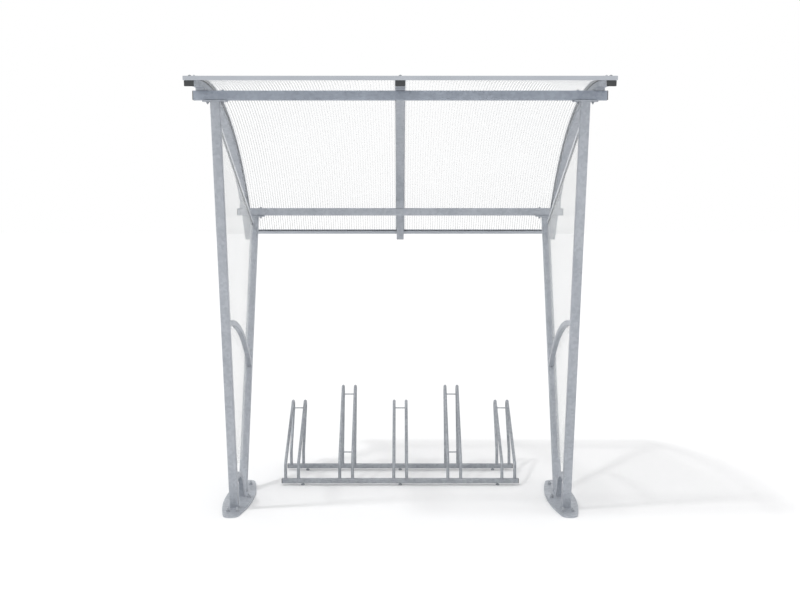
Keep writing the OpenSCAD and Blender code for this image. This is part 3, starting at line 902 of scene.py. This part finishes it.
def washer(radius, thickness):
    """Round washer with a broken edge."""
    return lathe([(radius - 0.0003, 0), (radius, 0.0003), (radius, thickness - 0.0004),
                  (radius - 0.0005, thickness)], 28)


def stud(radius, height):
    """Thread end: ridges two steps apart and a chamfer, as a lathe profile."""
    z = np.arange(0, height - radius * 0.3, RIDGE_STEP)
    ridge = radius - RIDGE_DEPTH * (np.arange(len(z)) % 2)
    rows = [(r, h) for r, h in zip(ridge, z)] + [(radius * 0.72, height)]
    return lathe(rows, 16)


def stack(solids_and_heights):
    """Solids set on one another: each is lifted by its height."""
    return joined([(v + [0, 0, h], f) for (v, f), h in solids_and_heights])


def fastener(washer_size, flats, height, thread=None):
    """Washer, then a hexagon and, on a nut, the thread end that stands out of it."""
    solids = [(washer(*washer_size), 0), (hexagon(flats, height), washer_size[1])]
    if thread:
        solids.append((stud(*thread), washer_size[1] + height))
    return stack(solids)


# %% [markdown]
# Each purlin has two bolts at each head plate, with the head on top and the nut under the
# plate. The places could be typed in, but they follow from the boxes of purlin and plate.

# %% Bolts and anchor nuts
FLIP = np.diag([1.0, -1.0, -1.0])
BOLT_REACH = 0.041
head = fastener(M8_WASHER, M8_FLATS, M8_HEAD)
nut = fastener(M8_WASHER, M8_FLATS, M8_NUT, (M8_THREAD, M8_OUT))
bolts = []
for purlin, plate in (("front_purlin", "front_head_plate"), ("rear_purlin", "rear_head_plate")):
    top, y = high(purlin)[2], (low(purlin)[1] + high(purlin)[1]) / 2
    for side in ("left", "right"):
        a, b = low(f"{side}_{plate}"), high(f"{side}_{plate}")
        spots = [((a[0] + b[0]) / 2 + way * BOLT_REACH, y) for way in (-1, 1)]
        bolts.append(copies(head, [(x, v, top) for x, v in spots]))
        bolts.append(copies(turned(nut, FLIP), [(x, v, a[2]) for x, v in spots]))
piece("purlin_bolts", joined(bolts), bolt_zinc)

ANCHOR_ACROSS, ANCHOR_ALONG, ANCHOR_MIDDLE = 0.028, 0.300, 0.055
anchor = fastener(M12_WASHER, M12_FLATS, M12_NUT, (M12_THREAD, M12_OUT))
ANCHORS = [(x * ANCHOR_ACROSS, y * ANCHOR_ALONG) for x in (-1, 1) for y in (-1, 1)]
ANCHORS += [(-ANCHOR_MIDDLE, 0), (ANCHOR_MIDDLE, 0)]
spots = []
for side in ("left", "right"):
    a, b = low(side + "_base_plate"), high(side + "_base_plate")
    centre = (a + b) / 2
    spots += [(centre[0] + x, centre[1] + y, b[2]) for x, y in ANCHORS]
piece("anchor_nuts", copies(anchor, spots), bolt_zinc)

# %% [markdown]
# ## Screws on the cover strips
# Dome screws with rubber seals clamp each strip to its rib: two near the front rail, an even
# row over the arc, and one near the tail. A curve of instances could carry them, but turning
# each one by its angle about the roof's axis is one small matrix.

# %% Screws and seals
EVEN_SCREWS = 86.0 - 7.6 * np.arange(6)
SCREW_ANGLES = np.radians(np.concatenate([[96.9, 93.9], EVEN_SCREWS, [41.2]]))
SEAL_RADIUS, SEAL_THICKNESS = 0.0085, 0.0012
DOME = [(0.0062, 0.0), (0.0062, 0.0008), (0.0056, 0.0022), (0.0038, 0.0034), (0.0012, 0.0040)]
dome = lathe(DOME, 18)
seal = washer(SEAL_RADIUS, SEAL_THICKNESS)


def on_roof(solid, x, angle, radius):
    """A solid built on z = 0 stood on the roof: its z axis turns to the radius there."""
    cosine, sine = math.cos(angle), math.sin(angle)
    turn = np.array([[1, 0, 0], [0, sine, cosine], [0, -cosine, sine]])
    place = arc_axis + [x, radius * cosine, radius * sine]
    return turned(solid, turn)[0] + place, solid[1]


screws, seals = [], []
for x in RIBS.values():
    for angle in SCREW_ANGLES:
        seals.append(on_roof(seal, x, angle, ROOF_OUTSIDE))
        screws.append(on_roof(dome, x, angle, ROOF_OUTSIDE + SEAL_THICKNESS))
piece("strip_screws", joined(screws), bolt_zinc)
piece("strip_screw_seals", joined(seals), seal_black)

# %% [markdown]
# ## Floor, light and camera
# The shelter stands on a pale floor under soft white light from all round. One sun, high at
# the front left, lays thin shadows to the right and a little less far to the back. Lamps round
# the frame could light it too, but each would add a shadow of its own.

# %% Floor
FLOOR_HALF = 40.0


def plane(name, half, material):
    """A level square at ground height."""
    corners = np.array([[-half, -half, 0], [half, -half, 0], [half, half, 0], [-half, half, 0]])
    mesh = bpy.data.meshes.new(name)
    mesh.from_pydata(corners.tolist(), [], [[0, 1, 2, 3]])
    mesh.materials.append(material)
    made = bpy.data.objects.new(name, mesh)
    bpy.context.scene.collection.objects.link(made)
    print(f"{name}: {2 * half:.0f} m wide")


def pale_floor():
    """Plain pale floor with the faintest cloud."""
    f = Finish("pale_floor", "")
    cloud = f.noise(f.place(), 0.6)
    return f.surface(base_color=f.blend(cloud, colour(240, 240, 240), colour(238, 238, 239)),
                     roughness=0.9)


plane("floor", FLOOR_HALF, pale_floor())

# %% Light
WORLD_STRENGTH = 1.0
SUN_ENERGY = 0.9
SUN_ANGLE = 5
SHADOW_RUN = (0.50, 0.29, -1.0)

world = bpy.data.worlds.new("soft_white")
world.use_nodes = True
world.node_tree.nodes["Background"].inputs["Color"].default_value = (1, 1, 1, 1)
world.node_tree.nodes["Background"].inputs["Strength"].default_value = WORLD_STRENGTH
bpy.context.scene.world = world

sun_data = bpy.data.lights.new("sun", "SUN")
sun_data.energy = SUN_ENERGY
sun_data.angle = math.radians(SUN_ANGLE)
sun = bpy.data.objects.new("sun", sun_data)
bpy.context.scene.collection.objects.link(sun)
sun.rotation_euler = Vector(SHADOW_RUN).to_track_quat("-Z", "Y").to_euler()
print("sun height in degrees:", round(math.degrees(math.atan2(1.0, math.hypot(*SHADOW_RUN[:2])))))

# %% [markdown]
# The camera stands just above head height, well back from the nose of the roof, and looks
# down a little. Clear sheet lies behind clear sheet, so light may pass many layers before it stops.

# %% Camera
LENS, SENSOR = 49.5, 36
CAMERA_SIDE, CAMERA_BACK, CAMERA_HEIGHT, CAMERA_PITCH = -0.0013, 5.630, 1.911, 0.101
CLEAR_LAYERS = 32

camera_data = bpy.data.cameras.new("camera")
camera_data.lens = LENS
camera_data.sensor_width = SENSOR
camera = bpy.data.objects.new("camera", camera_data)
bpy.context.scene.collection.objects.link(camera)
camera.location = (CAMERA_SIDE, nose_y - CAMERA_BACK, CAMERA_HEIGHT)
camera.rotation_euler = (math.pi / 2 - CAMERA_PITCH, 0, 0)
bpy.context.scene.camera = camera
bpy.context.scene.view_settings.view_transform = "Standard"
bpy.context.scene.cycles.transparent_max_bounces = CLEAR_LAYERS
print("camera:", [round(c, 3) for c in camera.location])
